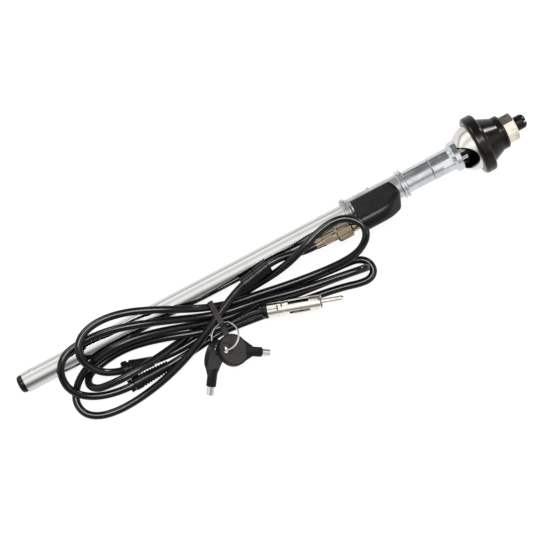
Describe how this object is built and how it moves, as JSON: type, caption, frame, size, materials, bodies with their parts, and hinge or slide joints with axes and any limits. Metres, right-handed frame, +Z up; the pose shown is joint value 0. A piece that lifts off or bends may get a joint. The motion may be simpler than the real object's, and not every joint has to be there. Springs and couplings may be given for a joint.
{
  "type": "car mast aerial",
  "caption": "Telescopic car mast aerial with a slotted swivel mount head, a lockable tip, a moulded cable outlet and a tied coax lead ending in a slotted plug, with keys on a ring.",
  "frame": {"origin": "on the mast axis, in the plane of the gasket's tube-side face, where the car's panel seats", "axes": "+X along the mast towards its tip, level with the floor, so the mast itself slopes up by 2.27 degrees; +Z up; +Y away from the coiled lead"},
  "size_m": [0.3547, 0.0799, 0.0381],
  "materials": {
    "chrome_tube": "polished chrome plate",
    "bright_zinc": "bright zinc plate",
    "nickel": "warm nickel plate",
    "brass": "bare brass",
    "brass_nickel": "dull plated brass",
    "gloss_black": "glossy moulded black",
    "black_rubber": "smooth black rubber",
    "cable_black": "glossy cable jacket",
    "white_plastic": "plain white plastic",
    "tie_plastic": "dull brown-black plastic",
    "steel_wire": "bright wire",
    "key_plastic": "satin dark grey plastic"
  },
  "bodies": {
    "mast_base": {"base_tube": "chrome_tube", "boot_ferrule": "nickel", "bulkhead_grommet": "black_rubber", "bundle_tie": "tie_plastic", "coax_lead": "cable_black", "contact_ring": "brass", "coupling_nut": "brass_nickel", "feed_wire": "brass", "flange_sleeve": "bright_zinc", "front_key_bow": "key_plastic", "front_key_tip": "steel_wire", "guide_liner": "white_plastic", "inline_barrel": "black_rubber", "key_ring": "steel_wire", "lead_ferrule": "brass_nickel", "left_key_bow": "key_plastic", "left_key_tip": "steel_wire", "neck_stem": "gloss_black", "outlet_cover": "gloss_black", "outlet_stub": "brass_nickel", "plug_collar": "black_rubber", "plug_insulator": "white_plastic", "plug_pin": "nickel", "plug_sleeve": "nickel", "retaining_collar": "bright_zinc", "ribbed_boot": "black_rubber", "ring_seal": "gloss_black", "sleeve_guide": "white_plastic", "swivel_neck": "bright_zinc", "tail_plug": "gloss_black", "top_nut": "nickel", "upper_housing": "bright_zinc"},
    "mount_head": {"swivel_dome": "bright_zinc", "panel_gasket": "black_rubber", "trim_cone": "gloss_black"},
    "section_1": {"mast_section_1": "chrome_tube", "section_1_foot": "brass"},
    "section_2": {"mast_section_2": "chrome_tube", "section_2_foot": "brass"},
    "section_3": {"mast_section_3": "chrome_tube", "section_3_foot": "brass"},
    "tip": {"tip_rod": "chrome_tube", "rod_foot": "brass", "tip_knob": "gloss_black"},
    "lock": {"lock_barrel": "nickel"}
  },
  "joints": [
    {"name": "head_swivel", "type": "hinge", "parent": "mast_base", "child": "mount_head", "pos_m": [0.001, 0, 0.00004], "axis": [0.0232, -0.809, -0.5873], "range_deg": [0, 12]},
    {"name": "section_1_slide", "type": "slide", "parent": "mast_base", "child": "section_1", "axis": [0.9992, 0, 0.0395], "range_m": [0, 0.225]},
    {"name": "section_2_slide", "type": "slide", "parent": "section_1", "child": "section_2", "axis": [0.9992, 0, 0.0395], "range_m": [0, 0.285]},
    {"name": "section_3_slide", "type": "slide", "parent": "section_2", "child": "section_3", "axis": [0.9992, 0, 0.0395], "range_m": [0, 0.285]},
    {"name": "tip_slide", "type": "slide", "parent": "section_3", "child": "tip", "axis": [0.9992, 0, 0.0395], "range_m": [0, 0.285]},
    {"name": "lock_turn", "type": "hinge", "parent": "tip", "child": "lock", "pos_m": [0.03397, 0, 0.00134], "axis": [0.9992, 0, 0.0395], "range_deg": [0, 90]}
  ]
}
